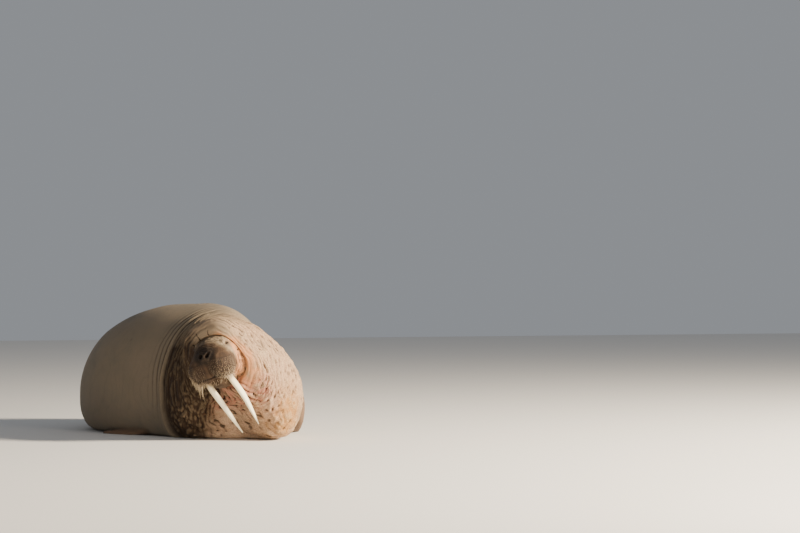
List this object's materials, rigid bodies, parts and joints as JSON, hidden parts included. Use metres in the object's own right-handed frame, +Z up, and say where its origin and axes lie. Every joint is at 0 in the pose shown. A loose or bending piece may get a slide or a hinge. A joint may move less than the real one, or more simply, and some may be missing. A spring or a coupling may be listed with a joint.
{
  "type": "walrus",
  "caption": "Still, life-size model of a bull walrus at rest on its belly, its head raised and turned to its right, with long tusks, whiskers and folded flippers.",
  "frame": {"origin": "on the floor under the middle of the whole animal's box", "axes": "+Z up, +X to the animal's left, +Y towards its tail; it faces -Y with its head turned 45 degrees to -X"},
  "size_m": [1.5022, 3.433, 0.9382],
  "materials": {
    "hide": "thick wrinkled hide, nearly bare",
    "flipper_hide": "bare rusty brown hide",
    "ivory": "polished by wear, fine cracks",
    "eye": "wet gloss"
  },
  "bodies": {
    "root": {"tail": "hide", "hips": "hide", "torso": "hide", "chest": "hide", "neck": "hide", "head": "hide", "muzzle": "hide", "foreflipper_left": "flipper_hide", "foreflipper_right": "flipper_hide", "hindflipper_left": "flipper_hide", "hindflipper_right": "flipper_hide", "tusk_left": "ivory", "tusk_right": "ivory", "eye_left": "eye", "eye_right": "eye"}
  },
  "joints": []
}
